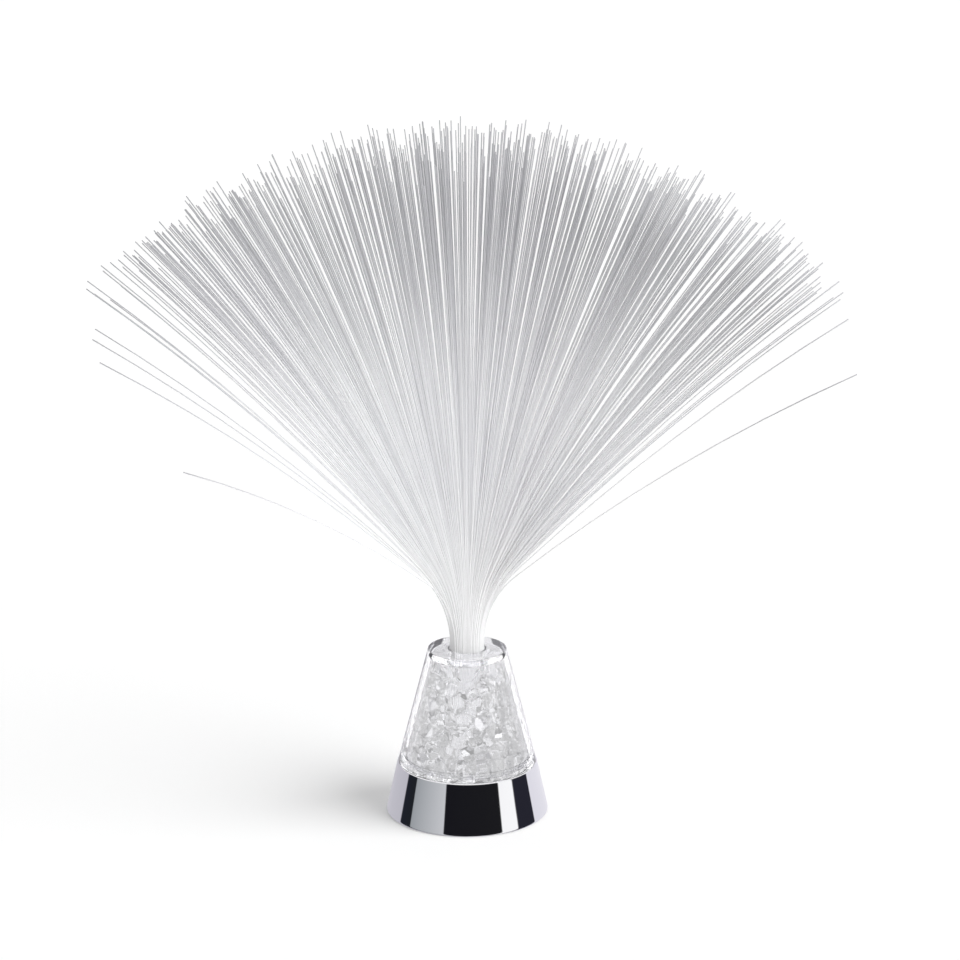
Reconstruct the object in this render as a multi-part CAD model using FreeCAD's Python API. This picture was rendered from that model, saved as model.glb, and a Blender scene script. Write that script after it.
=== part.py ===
import FreeCAD, Part
import math
import os
import random

from FreeCAD import Vector

# Fibre optic table lamp. Millimetres, +Z up. The origin is the centre of the rim that the lamp
# rests on, and the front of the lamp looks along -Y.

# Fits and clearances
FIT = 0.15              # gap round a piece that is pushed or glued into its seat
RUN = 0.08              # radial gap round a turning stub
DOOR_GAP = 0.35         # gap round the battery door
SEAT = 0.1              # gap between stacked pieces that need not touch
PILOT_ROOM = 0.05       # radial gap round a screw in its boss
NEAR = 0.001            # two measures closer than this are the same

# Battery cells, the common slim size, side by side
CELL_RADIUS = 5.25
CELL_LENGTH = 44.5
CELL_COUNT = 3
CELL_SPACING = 0.3      # gap between two cells
CELL_ROOM = 0.3         # gap between a cell and the tray, the door or the roof
NUB_RADIUS = 1.9
NUB_HEIGHT = 0.8
CELL_ROUND = 0.4
END_ROOM = 2.6          # from a cell's end to the tray's end wall

# Contacts
CONTACT_THICKNESS = 0.4
CONTACT_SIZE = 7.0
SPRING_WIDE_RADIUS = 3.0
SPRING_NARROW_RADIUS = 1.9
SPRING_WALL = 0.6
TAG_WIDTH = 2.0
TAG_HEIGHT = 3.0
TAG_PROUD = 0.6

# Bottom cover with its battery tray
COVER_LIFT = 2.0        # from the table to the cover's underside
COVER_THICKNESS = 2.0
COVER_GAP = 0.25
TRAY_WALL = 1.2
COVER_SCREW_X = 14.0
COVER_SCREW_Y = 24.0

# Battery door
STUB_RADIUS = 0.7
STUB_LENGTH = 0.6
KNUCKLE_RADIUS = 1.4
THUMB_RADIUS = 5.0
THUMB_DEPTH = 0.9
THUMB_SETBACK = 8.0     # from the door's free edge to the middle of its thumb hollow
RIDGE_HEIGHT = 0.2
RIDGE_LENGTH = 16.0
RIDGE_WIDTH = 0.6
NOTCH_WIDTH = 1.0

# Screws
COVER_SCREW_RADIUS = 0.95
COVER_SCREW_LENGTH = 7.0
COVER_HEAD_RADIUS = 1.9
COVER_HEAD_HEIGHT = 1.2
BOARD_SCREW_RADIUS = 0.85
BOARD_SCREW_LENGTH = 3.6
BOARD_HEAD_RADIUS = 1.6
BOARD_HEAD_HEIGHT = 1.1
CROSS_SLOT_WIDTH = 0.5
CROSS_SLOT_DEPTH = 0.5
CROSS_SLOT_SHARE = 0.7  # reach of the cross over the head's radius
COVER_BOSS_WALL = 1.9
BOARD_BOSS_WALL = 0.95

# Circuit board with its light source
BOARD_RADIUS = 18.0
BOARD_THICKNESS = 1.0
BOARD_BOSS_CIRCLE = 15.0
BOARD_BOSS_COUNT = 3
BOARD_BOSS_TURN = 90.0
BOARD_DROP = 3.5        # from the deck's underside to the board
LED_SIDE = 5.0
LED_HEIGHT = 1.4
LED_CIRCLE = 4.0
LED_COUNT = 3
LED_TURN = 30.0
LED_LENS_RADIUS = 1.9
LED_LENS_HEIGHT = 0.2
REFLECTOR_RADIUS = 11.6
REFLECTOR_WALL = 1.2
CHIP_LENGTH = 5.0
CHIP_WIDTH = 4.0
CHIP_HEIGHT = 1.5
PART_CIRCLE = 14.6      # circle of the small parts on the board
RESISTOR_SIZE = (2.0, 1.25, 0.5)
RESISTOR_ANGLES = (60.0, 120.0, 165.0)
CONTROLLER_ANGLE = 5.0

# Power switch under the base
SWITCH_Y = -26.0
SWITCH_LENGTH = 9.0
SWITCH_WIDTH = 4.6
SWITCH_HEIGHT = 2.8
SWITCH_TRAVEL = 2.5
KNOB_LENGTH = 3.2
KNOB_WIDTH = 3.0
KNOB_DROP = 1.4         # how far the knob stands below the cover
STEM_LENGTH = 1.8
STEM_WIDTH = 1.8
SHOULDER_LENGTH = 2.8
SHOULDER_WIDTH = 2.6
SHOULDER_HEIGHT = 1.2
SHOULDER_ROOM = 0.3     # above the knob's shoulder
GROOVE_WIDTH = 0.3
GROOVE_DEPTH = 0.3
TERMINAL_PITCH = 2.5
TERMINAL_SIZE = (1.2, 0.4, 2.0)

# Wires inside the base
LEAD_RADIUS = 0.6
LEAD_BEND = 1.8
LEAD_BEND_SHARE = 0.45  # largest share of a run that one bend takes
LEAD_REACH = 1.6        # how far a wire stands out from a tag
LEAD_RISE = 2.5         # height of a wire above the switch
LEAD_INSET = 2.2        # from the board's edge to where the wires meet it
LEAD_ROOM = 0.15        # between a wire and the tray's corner

# Chrome base shell
SHELL_WALL = 2.0
SHELL_TAPER = 0.222     # loss of radius for each millimetre of height
SHELL_ROUND = 0.4
TRAY_SHELL_GAP = 0.95
DECK_THICKNESS = 2.2

# Clear cone over the base
CONE_HEIGHT = 55.0
CONE_TOP_RADIUS = 18.2
CONE_SETBACK = 0.3      # how far the cone's foot stands inside the shell's edge
CONE_WALL = 2.8
CONE_TOP_THICKNESS = 4.0
CONE_ROUND = 0.6
SPIGOT_DEPTH = 1.2
SPIGOT_WALL = 1.4
RIM_STEP = 1.0          # width of each step inside the cone's foot
RIM_HEIGHT = 1.6        # height of each step

# Bundle of fibres
FIBRE_DIAMETER = 0.5
FIBRE_PITCH = 0.51
FIBRE_SIDES = 6
BUNDLE_RADIUS = 8.1
SLEEVE_WALL = 0.8
SLEEVE_FLANGE_RADIUS = 10.0
SLEEVE_FLANGE_HEIGHT = 0.8
LIGHT_GAP = 0.3         # between the light source and the bundle

# Spray: each fibre stands straight through the cone, bends quickly, then droops slightly.
# Tilts are in degrees. The tilts to the side grow with a power of the distance from the axis.
SPRAY_LENGTH = 238.0    # fibre above the cone's top
COLLAR_LENGTH = 2.0     # straight part above the cone's top
BEND_LENGTH = 40.0
BEND_SHARE = 0.8        # share of the final tilt that the first bend makes
SPRAY_TILT = 54.0       # final tilt of the outermost fibres
LEAST_TILT = 0.8
TILT_POWER = 1.15
SPRAY_DEPTH = 0.26      # tilt to the front and back over the tilt to the side
RAGGED = 0.03           # spread of the lengths
TILT_SCATTER = 0.7
LOCK_WAVES = 12         # waves across the bundle that draw neighbours together into locks
LOCK_FIRST = 1.8        # shortest wave
LOCK_GROWTH = 1.2       # each next wave over the one before
LOCK_TILT = 0.42        # tilt that a wave of 1 mm adds; it grows with the root of the wave
LOCK_TURN = 1.7         # turn of each wave's push, in golden angles
STRAYS = (              # azimuth, tilt and length of the lowest fibres
    (-24.0, 61.0, 240.0),
    (-6.0, 56.0, 236.0),
    (6.0, 55.0, 234.0),
    (174.0, 55.0, 230.0),
    (182.0, 57.0, 228.0),
    (190.0, 57.0, 230.0),
    (204.0, 58.0, 234.0),
    (228.0, 67.0, 218.0),
)

# Clear chips in the cone
CRYSTAL_PITCH = 7.3
CRYSTAL_GAP = 0.36
CRYSTAL_JITTER = 1.25
CRYSTAL_CHOPS = 3
CHOP_RANGE = (0.36, 0.5)        # distance of a chop from a chip's middle, in pitches
NEIGHBOUR_REACH = 2.4           # how far a chip's neighbours are looked for, in pitches
WALL_ANGLES = (-0.25, 0.0, 0.25)    # flat faces of a chip against the round wall, radians
WALL_SAG = 0.35         # extra room at the round wall for the flat faces of the chips
CORNER_ROOM = 0.06      # a cut passes no corner closer than this
CUT_RETREAT = 0.07
CUT_TRIES = 8

SEED = 27
GOLDEN_ANGLE = math.pi * (3 - math.sqrt(5))


# Heights, from the table up
COVER_TOP = COVER_LIFT + COVER_THICKNESS
CELL_Z = COVER_TOP + CELL_ROOM + CELL_RADIUS
ROOF_Z = CELL_Z + CELL_RADIUS + CELL_ROOM
TRAY_TOP = ROOF_Z + TRAY_WALL
BOARD_Z = TRAY_TOP + 2 * SEAT + BOARD_HEAD_HEIGHT
BOARD_TOP = BOARD_Z + BOARD_THICKNESS
LIGHT_TOP = BOARD_TOP + LED_HEIGHT + LED_LENS_HEIGHT
DECK_Z = BOARD_TOP + BOARD_DROP
BASE_HEIGHT = DECK_Z + DECK_THICKNESS
CONE_TOP = BASE_HEIGHT + CONE_HEIGHT
CONE_CEILING = CONE_TOP - CONE_TOP_THICKNESS

# Battery tray, inside
CELL_PITCH = 2 * CELL_RADIUS + CELL_SPACING
TRAY_X = CELL_LENGTH / 2 + END_ROOM
TRAY_Y = (CELL_COUNT - 1) * CELL_PITCH / 2 + CELL_RADIUS + CELL_ROOM
TRAY_CORNER = math.hypot(TRAY_X + TRAY_WALL, TRAY_Y + TRAY_WALL)

# Radii of the shell, the cone and the bundle
FOOT_RADIUS = TRAY_CORNER + TRAY_SHELL_GAP + SHELL_WALL + SHELL_TAPER * TRAY_TOP
SHELL_TOP_RADIUS = FOOT_RADIUS - SHELL_TAPER * BASE_HEIGHT
CONE_FOOT_RADIUS = SHELL_TOP_RADIUS - CONE_SETBACK
CONE_TAPER = (CONE_FOOT_RADIUS - CONE_TOP_RADIUS) / CONE_HEIGHT
SLEEVE_BORE = BUNDLE_RADIUS + FIT
SLEEVE_RADIUS = SLEEVE_BORE + SLEEVE_WALL
SLEEVE_Z = LIGHT_TOP + LIGHT_GAP

HINGE_Y = -TRAY_Y + DOOR_GAP + KNUCKLE_RADIUS
HINGE_Z = COVER_LIFT + KNUCKLE_RADIUS

LEAD_Z = BOARD_TOP + BOARD_DROP / 2
LEAD_PAD = BOARD_RADIUS - LEAD_INSET

UP = Vector(0, 0, 1)


def shell_radius(z):
    """Outer radius of the base shell at a height."""
    return FOOT_RADIUS - SHELL_TAPER * z


def cone_radius(z):
    """Outer radius of the clear cone at a height."""
    return CONE_FOOT_RADIUS - CONE_TAPER * (z - BASE_HEIGHT)


def disc(radius, z0, z1, x=0.0, y=0.0):
    """Upright cylinder between two heights."""
    return Part.makeCylinder(radius, z1 - z0, Vector(x, y, z0), UP)


def frustum(r0, r1, z0, z1):
    """Upright truncated cone on the lamp's axis."""
    return Part.makeCone(r0, r1, z1 - z0, Vector(0, 0, z0), UP)


def block(x0, x1, y0, y1, z0, z1):
    """Box between two corners."""
    return Part.makeBox(x1 - x0, y1 - y0, z1 - z0, Vector(x0, y0, z0))


def turned(shape, angle):
    """Copy of a shape turned about the lamp's axis, in degrees."""
    copy = shape.copy()
    copy.rotate(Vector(0, 0, 0), UP, angle)
    return copy


def fuse(first, *others):
    """One solid from pieces that touch or overlap."""
    return first.multiFuse(list(others)).removeSplitter()


def circle_edges(shape, radius, z):
    """Full round edges of a given radius and height."""
    found = []
    for edge in shape.Edges:
        curve = edge.Curve
        if not isinstance(curve, Part.Circle):
            continue
        if abs(curve.Radius - radius) < NEAR and abs(curve.Center.z - z) < NEAR:
            found.append(edge)
    return found


def wire_tube(points, radius, bend):
    """Tube along straight runs that are joined by tangent arcs."""
    edges = []
    start = points[0]
    for before, corner, after in zip(points, points[1:], points[2:]):
        into = (corner - before).normalize()
        away = (after - corner).normalize()
        half = into.getAngle(away) / 2
        reach = bend * math.tan(half)
        first = corner - into * reach
        last = corner + away * reach
        inward = (away - into).normalize()
        middle = corner + inward * bend * (1 / math.cos(half) - 1)
        edges.append(Part.LineSegment(start, first).toShape())
        edges.append(Part.Arc(first, middle, last).toShape())
        start = last
    edges.append(Part.LineSegment(start, points[-1]).toShape())
    way = (points[1] - points[0]).normalize()
    ring = Part.Wire([Part.Circle(points[0], way, radius).toShape()])
    return Part.Wire(edges).makePipeShell([ring], True, False)


def cross_slot(x, y, z0, z1, reach):
    """Cross cut for a screwdriver, between two heights."""
    half = CROSS_SLOT_WIDTH / 2
    along = block(x - reach, x + reach, y - half, y + half, z0, z1)
    across = block(x - half, x + half, y - reach, y + reach, z0, z1)
    return fuse(along, across)


def screw(x, y, z, shaft_radius, length, head_radius, head_height):
    """Pan head screw that points up, with its head's top face down at z."""
    head = disc(head_radius, z, z + head_height, x, y)
    shaft = disc(shaft_radius, z + head_height, z + head_height + length, x, y)
    slot = cross_slot(x, y, z - SEAT, z + CROSS_SLOT_DEPTH, head_radius * CROSS_SLOT_SHARE)
    return fuse(head, shaft).cut(slot)


def cover_screw_places():
    """Places of the screws that hold the bottom cover."""
    return [(sx * COVER_SCREW_X, sy * COVER_SCREW_Y) for sx in (-1, 1) for sy in (-1, 1)]


def board_screw_places():
    """Places of the screws that hold the circuit board."""
    places = []
    for k in range(BOARD_BOSS_COUNT):
        angle = math.radians(BOARD_BOSS_TURN + 360 * k / BOARD_BOSS_COUNT)
        places.append((BOARD_BOSS_CIRCLE * math.cos(angle), BOARD_BOSS_CIRCLE * math.sin(angle)))
    return places


def make_base_shell():
    """Chrome shell: wall, deck, groove for the cone and the screw bosses, in one moulding."""
    outer = frustum(FOOT_RADIUS, SHELL_TOP_RADIUS, 0, BASE_HEIGHT)
    rims = circle_edges(outer, SHELL_TOP_RADIUS, BASE_HEIGHT) + circle_edges(outer, FOOT_RADIUS, 0)
    outer = outer.makeFillet(SHELL_ROUND, rims)
    inside = frustum(shell_radius(0) - SHELL_WALL, shell_radius(DECK_Z) - SHELL_WALL, 0, DECK_Z)
    shell = outer.cut(inside)
    bosses = []
    pilots = []
    bore = COVER_SCREW_RADIUS + PILOT_ROOM
    for x, y in cover_screw_places():
        bosses.append(disc(COVER_SCREW_RADIUS + COVER_BOSS_WALL, COVER_TOP, DECK_Z + SEAT, x, y))
        pilots.append(disc(bore, COVER_TOP - SEAT, cover_screw_end() + SEAT, x, y))
    bore = BOARD_SCREW_RADIUS + PILOT_ROOM
    for x, y in board_screw_places():
        bosses.append(disc(BOARD_SCREW_RADIUS + BOARD_BOSS_WALL, BOARD_TOP, DECK_Z + SEAT, x, y))
        pilots.append(disc(bore, BOARD_TOP - SEAT, board_screw_end() + SEAT, x, y))
    shell = fuse(shell, *bosses)
    hole = disc(SLEEVE_RADIUS + FIT, DECK_Z - SEAT, BASE_HEIGHT + SEAT)
    groove = spigot(FIT, BASE_HEIGHT - SPIGOT_DEPTH - FIT, BASE_HEIGHT + SEAT)
    return shell.cut(Part.makeCompound(pilots + [hole])).cut(groove)


def spigot(spare, z0, z1):
    """Ring under the cone's foot, or its groove when it gets spare room."""
    outside = CONE_FOOT_RADIUS - CONE_WALL + SPIGOT_WALL / 2
    ring = disc(outside + spare, z0, z1)
    return ring.cut(disc(outside - SPIGOT_WALL - spare, z0, z1))


def cover_screw_end():
    """Height of the tip of a cover screw."""
    return COVER_LIFT + SEAT + COVER_HEAD_HEIGHT + COVER_SCREW_LENGTH


def board_screw_end():
    """Height of the tip of a board screw, kept under the deck."""
    return BOARD_Z + BOARD_SCREW_LENGTH


def make_clear_cone():
    """Thick clear cone with a closed top, a stepped foot and a spigot."""
    outer = frustum(CONE_FOOT_RADIUS, CONE_TOP_RADIUS, BASE_HEIGHT, CONE_TOP)
    outer = outer.makeFillet(CONE_ROUND, circle_edges(outer, CONE_TOP_RADIUS, CONE_TOP))
    inner = frustum(
        CONE_FOOT_RADIUS - CONE_WALL, cone_radius(CONE_CEILING) - CONE_WALL, BASE_HEIGHT, CONE_CEILING
    )
    cone = outer.cut(inner)
    for k in (1, 2):
        top = BASE_HEIGHT + k * RIM_HEIGHT
        wide = cone_radius(top) - CONE_WALL / 2
        narrow = CONE_FOOT_RADIUS - CONE_WALL - (3 - k) * RIM_STEP
        cone = cone.fuse(disc(wide, BASE_HEIGHT, top).cut(disc(narrow, BASE_HEIGHT, top)))
    cone = fuse(cone, spigot(0.0, BASE_HEIGHT - SPIGOT_DEPTH, BASE_HEIGHT + SEAT))
    return cone.cut(disc(SLEEVE_RADIUS + FIT, CONE_CEILING - SEAT, CONE_TOP + SEAT))


def make_sleeve():
    """Clear tube round the bundle, with a flange under the deck."""
    tube = disc(SLEEVE_RADIUS, SLEEVE_Z, CONE_TOP)
    flange = disc(SLEEVE_FLANGE_RADIUS, DECK_Z - SLEEVE_FLANGE_HEIGHT, DECK_Z)
    return fuse(tube, flange).cut(disc(SLEEVE_BORE, SLEEVE_Z - SEAT, CONE_TOP + SEAT))


def packed_centres():
    """Centres of the packed fibres, in rows like stacked pipes."""
    reach = BUNDLE_RADIUS - FIBRE_DIAMETER / 2
    rise = FIBRE_PITCH * math.sqrt(3) / 2
    rows = math.ceil(reach / rise)
    columns = math.ceil(reach / FIBRE_PITCH) + 1
    centres = []
    for row in range(-rows, rows + 1):
        for column in range(-columns, columns + 1):
            x = (column + row % 2 / 2) * FIBRE_PITCH
            y = row * rise
            if math.hypot(x, y) <= reach:
                centres.append((x, y))
    return centres


def scatter(number, channel):
    """Repeatable scattered value from -1 to 1: the fraction of a large sine."""
    value = math.sin(12.9898 * (number + 1) + 78.233 * channel) * 43758.5453
    return 2 * (value - math.floor(value)) - 1


def lock_shift(x, y):
    """Tilt to the side and to the back that the locks add at a place in the bundle."""
    side = 0.0
    back = 0.0
    for wave in range(LOCK_WAVES):
        length = LOCK_FIRST * LOCK_GROWTH ** wave
        along = GOLDEN_ANGLE * wave
        push = LOCK_TURN * along
        phase = 2 * math.pi / length * (x * math.cos(along) + y * math.sin(along)) + along * wave
        size = LOCK_TILT * math.sqrt(length) * math.sin(phase)
        side += size * math.cos(push)
        back += size * math.sin(push) * SPRAY_DEPTH
    return side, back


def spray_aims(centres):
    """Final tilts to the side and to the back, in degrees, and the length of each fibre."""
    reach = BUNDLE_RADIUS - FIBRE_DIAMETER / 2
    aims = []
    for number, (x, y) in enumerate(centres):
        radius = max(math.hypot(x, y), NEAR)
        size = SPRAY_TILT * (radius / reach) ** TILT_POWER / radius
        side, back = lock_shift(x, y)
        side += size * x + TILT_SCATTER * scatter(number, 1)
        back += (size * y + 2 * TILT_SCATTER * scatter(number, 2)) * SPRAY_DEPTH
        aims.append((side, back, SPRAY_LENGTH * (1 + RAGGED * scatter(number, 3))))
    taken = []
    for azimuth, tilt, length in STRAYS:
        side = math.cos(math.radians(azimuth))
        back = math.sin(math.radians(azimuth))
        free = [k for k in range(len(centres)) if k not in taken]
        outermost = max(free, key=lambda k: centres[k][0] * side + centres[k][1] * back)
        taken.append(outermost)
        aims[outermost] = (tilt * side, tilt * back, length)
    return aims


def make_fibre(x, y, azimuth, tilt, length):
    """One fibre in an upright plane: a straight run and two tangent arcs. Angles are in radians."""
    away = Vector(math.cos(azimuth), math.sin(azimuth), 0)
    foot = Vector(x, y, SLEEVE_Z)
    knee = Vector(x, y, CONE_TOP + COLLAR_LENGTH)
    edges = [Part.LineSegment(foot, knee).toShape()]
    start = knee
    angle = 0.0
    stages = (
        (BEND_SHARE * tilt, BEND_LENGTH),
        ((1 - BEND_SHARE) * tilt, length - COLLAR_LENGTH - BEND_LENGTH),
    )
    for turn, run in stages:
        bend = run / turn
        points = []
        for part in (0.5, 1.0):
            end = angle + part * turn
            out = bend * (math.cos(angle) - math.cos(end))
            rise = bend * (math.sin(end) - math.sin(angle))
            points.append(start + away * out + UP * rise)
        edges.append(Part.Arc(start, points[0], points[1]).toShape())
        start = points[1]
        angle += turn
    corners = []
    for k in range(FIBRE_SIDES + 1):
        a = azimuth + 2 * math.pi * k / FIBRE_SIDES
        corners.append(foot + Vector(math.cos(a), math.sin(a), 0) * (FIBRE_DIAMETER / 2))
    section = Part.makePolygon(corners)
    return Part.Wire(edges).makePipeShell([section], True, False)


def make_fibres():
    """The whole spray: a wide fan, shallow from front to back, that keeps the order of the bundle."""
    centres = packed_centres()
    fibres = []
    for (x, y), (side, back, length) in zip(centres, spray_aims(centres)):
        tilt = math.radians(max(math.hypot(side, back), LEAST_TILT))
        fibres.append(make_fibre(x, y, math.atan2(back, side), tilt, length))
    return Part.makeCompound(fibres)


def clip(faces, normal, level):
    """Part of a convex body on the inner side of a plane. A body is a list of its faces' corners."""
    kept = []
    rim = []
    for face in faces:
        out = []
        for a, b in zip(face, face[1:] + face[:1]):
            da = normal.dot(a) - level
            db = normal.dot(b) - level
            if da <= 0:
                out.append(a)
            if (da <= 0) != (db <= 0):
                cut = a + (b - a) * (da / (da - db))
                out.append(cut)
                rim.append(cut)
        if len(out) > 2:
            kept.append(out)
    if rim:
        kept.append(ring_order(rim, normal))
    return kept


def ring_order(points, normal):
    """Points of a flat convex face, each once, in order round it, seen from outside."""
    single = []
    for p in points:
        if all((p - q).Length > NEAR / 1000 for q in single):
            single.append(p)
    centre = sum(single[1:], single[0]) * (1 / len(single))
    first = (single[0] - centre).normalize()
    second = normal.cross(first)
    return sorted(single, key=lambda p: math.atan2((p - centre).dot(second), (p - centre).dot(first)))


def clear_level(faces, normal, level):
    """A plane's level, drawn in until it passes no corner closely, so no face is a sliver."""
    corners = [normal.dot(p) for face in faces for p in face]
    for _ in range(CUT_TRIES):
        if all(abs(c - level) > CORNER_ROOM for c in corners):
            break
        level -= CUT_RETREAT
    return level


def cube_faces(centre, half):
    """Faces of a cube as corner lists, outward."""
    faces = []
    for axis in range(3):
        for side in (-1, 1):
            corners = []
            for u, v in ((-1, -1), (1, -1), (1, 1), (-1, 1)):
                place = [0, 0, 0]
                place[axis] = side * half
                place[(axis + 1) % 3] = side * u * half
                place[(axis + 2) % 3] = v * half
                corners.append(centre + Vector(*place))
            faces.append(corners)
    return faces


def crystal_seeds(chance):
    """Middle points of the chips: rings in layers round the sleeve, each point moved a little."""
    low = BASE_HEIGHT
    layers = round((CONE_CEILING - low) / CRYSTAL_PITCH)
    step = (CONE_CEILING - low) / layers
    seeds = []
    for layer in range(layers):
        z = low + (layer + 0.5) * step
        wall = cone_radius(z) - CONE_WALL
        rings = max(1, round((wall - SLEEVE_RADIUS) / CRYSTAL_PITCH))
        width = (wall - SLEEVE_RADIUS) / rings
        for ring in range(rings):
            radius = SLEEVE_RADIUS + (ring + 0.5) * width
            count = round(2 * math.pi * radius / CRYSTAL_PITCH)
            turn = chance.uniform(0, 2 * math.pi)
            for k in range(count):
                angle = turn + 2 * math.pi * k / count
                spot = Vector(radius * math.cos(angle), radius * math.sin(angle), z)
                shift = Vector(*(chance.uniform(-1, 1) * CRYSTAL_JITTER for _ in range(3)))
                seeds.append(spot + shift)
    return seeds


def cone_planes(azimuth):
    """Planes that keep a chip inside the cone, off its stepped foot and off the sleeve."""
    slope = math.atan(CONE_TAPER)
    room = CRYSTAL_GAP + WALL_SAG
    wall = cone_radius(BASE_HEIGHT) - CONE_WALL - room / math.cos(slope)
    foot = CONE_FOOT_RADIUS - CONE_WALL - 2 * RIM_STEP - room
    foot_top = BASE_HEIGHT + 2 * RIM_HEIGHT + room
    lean = math.atan2(wall - CONE_TAPER * (foot_top - BASE_HEIGHT) - foot, foot_top - BASE_HEIGHT)
    planes = []
    for offset in WALL_ANGLES:
        a = azimuth + offset
        out = Vector(math.cos(a), math.sin(a), 0)
        normal = out * math.cos(slope) + UP * math.sin(slope)
        planes.append((normal, wall * math.cos(slope) + BASE_HEIGHT * math.sin(slope)))
        normal = out * math.cos(lean) - UP * math.sin(lean)
        planes.append((normal, foot * math.cos(lean) - BASE_HEIGHT * math.sin(lean)))
    inward = Vector(-math.cos(azimuth), -math.sin(azimuth), 0)
    planes.append((inward, -(SLEEVE_RADIUS + CRYSTAL_GAP)))
    planes.append((UP, CONE_CEILING - CRYSTAL_GAP))
    planes.append((-UP, -(BASE_HEIGHT + SEAT)))
    return planes


def make_crystals():
    """Clear chips that fill the cone. Each is what lies nearest to its middle point, with chopped corners."""
    chance = random.Random(SEED)
    seeds = crystal_seeds(chance)
    chips = []
    for k, seed in enumerate(seeds):
        planes = []
        for other, place in enumerate(seeds):
            apart = place - seed
            if other != k and apart.Length < NEIGHBOUR_REACH * CRYSTAL_PITCH:
                way = Vector(apart).normalize()
                planes.append((way, way.dot((place + seed) * 0.5) - CRYSTAL_GAP / 2))
        planes += cone_planes(math.atan2(seed.y, seed.x))
        for _ in range(CRYSTAL_CHOPS):
            way = Vector(chance.gauss(0, 1), chance.gauss(0, 1), chance.gauss(0, 1)).normalize()
            planes.append((way, way.dot(seed) + CRYSTAL_PITCH * chance.uniform(*CHOP_RANGE)))
        faces = cube_faces(seed, 2 * CRYSTAL_PITCH)
        for normal, level in planes:
            faces = clip(faces, normal, clear_level(faces, normal, level))
        shell = Part.Shell([Part.Face(Part.makePolygon(face + face[:1])) for face in faces])
        chips.append(Part.Solid(shell))
    return Part.makeCompound(chips)


def end_pad(side, y):
    """Moulded pad behind the contact that meets a cell's nub."""
    half = CONTACT_SIZE / 2
    deep = TRAY_X - END_ROOM + SEAT + CONTACT_THICKNESS
    x0, x1 = sorted((side * deep, side * (TRAY_X + TRAY_WALL / 2)))
    return block(x0, x1, y - half, y + half, CELL_Z - half, CELL_Z + half)


def cell_rows():
    """Each cell's place across the tray, and the end its nub points to."""
    rows = []
    for k in range(CELL_COUNT):
        rows.append(((k - (CELL_COUNT - 1) / 2) * CELL_PITCH, 1 if k % 2 == 0 else -1))
    return rows


def tag_rows():
    """The two contacts with a solder tag: side and place across the tray."""
    first = cell_rows()[0]
    last = cell_rows()[-1]
    return [(-first[1], first[0]), (last[1], last[0])]


def tag_block(side, y, spare):
    """Solder tag through the tray's end wall, or its slot when it gets spare room."""
    deep = tag_root(side, y)
    x0, x1 = sorted((side * deep, side * (TRAY_X + TRAY_WALL + TAG_PROUD)))
    half = TAG_WIDTH / 2 + spare
    tall = TAG_HEIGHT / 2 + spare
    return block(x0, x1, y - half, y + half, CELL_Z - tall, CELL_Z + tall)


def tag_root(side, y):
    """Distance from the middle to the back of the contact that a tag belongs to."""
    nub_side = dict((row, end) for row, end in cell_rows())[y]
    if nub_side == side:
        return TRAY_X - END_ROOM + SEAT + CONTACT_THICKNESS / 2
    return TRAY_X - CONTACT_THICKNESS / 2


def make_bottom_cover():
    """Cover plate and battery tray in one moulding, open below where the door fits."""
    plate = frustum(
        shell_radius(COVER_LIFT) - SHELL_WALL - COVER_GAP,
        shell_radius(COVER_TOP) - SHELL_WALL - COVER_GAP,
        COVER_LIFT,
        COVER_TOP,
    )
    tray = block(
        -TRAY_X - TRAY_WALL,
        TRAY_X + TRAY_WALL,
        -TRAY_Y - TRAY_WALL,
        TRAY_Y + TRAY_WALL,
        COVER_LIFT,
        TRAY_TOP,
    )
    cover = fuse(plate, tray)
    cover = cover.cut(block(-TRAY_X, TRAY_X, -TRAY_Y, TRAY_Y, COVER_LIFT - SEAT, ROOF_Z))
    pads = [end_pad(end, y) for y, end in cell_rows()]
    cover = fuse(cover, *pads)
    holes = []
    for x, y in cover_screw_places():
        holes.append(disc(COVER_SCREW_RADIUS + FIT, COVER_LIFT - SEAT, COVER_TOP + SEAT, x, y))
        top = COVER_LIFT + SEAT + COVER_HEAD_HEIGHT
        holes.append(disc(COVER_HEAD_RADIUS + FIT, COVER_LIFT - SEAT, top, x, y))
    for side in (-1, 1):
        holes.append(hinge_rod(STUB_RADIUS + RUN, side * (TRAY_X - SEAT), side * (stub_end() + SEAT)))
    holes += [tag_block(side, y, FIT) for side, y in tag_rows()]
    slot_x = (SWITCH_TRAVEL + STEM_LENGTH) / 2 + FIT
    slot_y = STEM_WIDTH / 2 + FIT
    holes.append(
        block(-slot_x, slot_x, SWITCH_Y - slot_y, SWITCH_Y + slot_y, COVER_LIFT - SEAT, COVER_TOP + SEAT)
    )
    ridge = RIDGE_LENGTH / 2 + FIT
    middle = COVER_LIFT + COVER_THICKNESS / 2
    low, high = middle - NOTCH_WIDTH / 2, middle + NOTCH_WIDTH / 2
    holes.append(block(-ridge, ridge, TRAY_Y - SEAT, TRAY_Y + RIDGE_HEIGHT, low, high))
    return cover.cut(Part.makeCompound(holes))


def stub_end():
    """Distance from the middle to the tip of a hinge stub."""
    return TRAY_X + STUB_LENGTH


def hinge_rod(radius, x0, x1):
    """Cylinder on the door's hinge line."""
    low, high = sorted((x0, x1))
    return Part.makeCylinder(radius, high - low, Vector(low, HINGE_Y, HINGE_Z), Vector(1, 0, 0))


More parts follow.
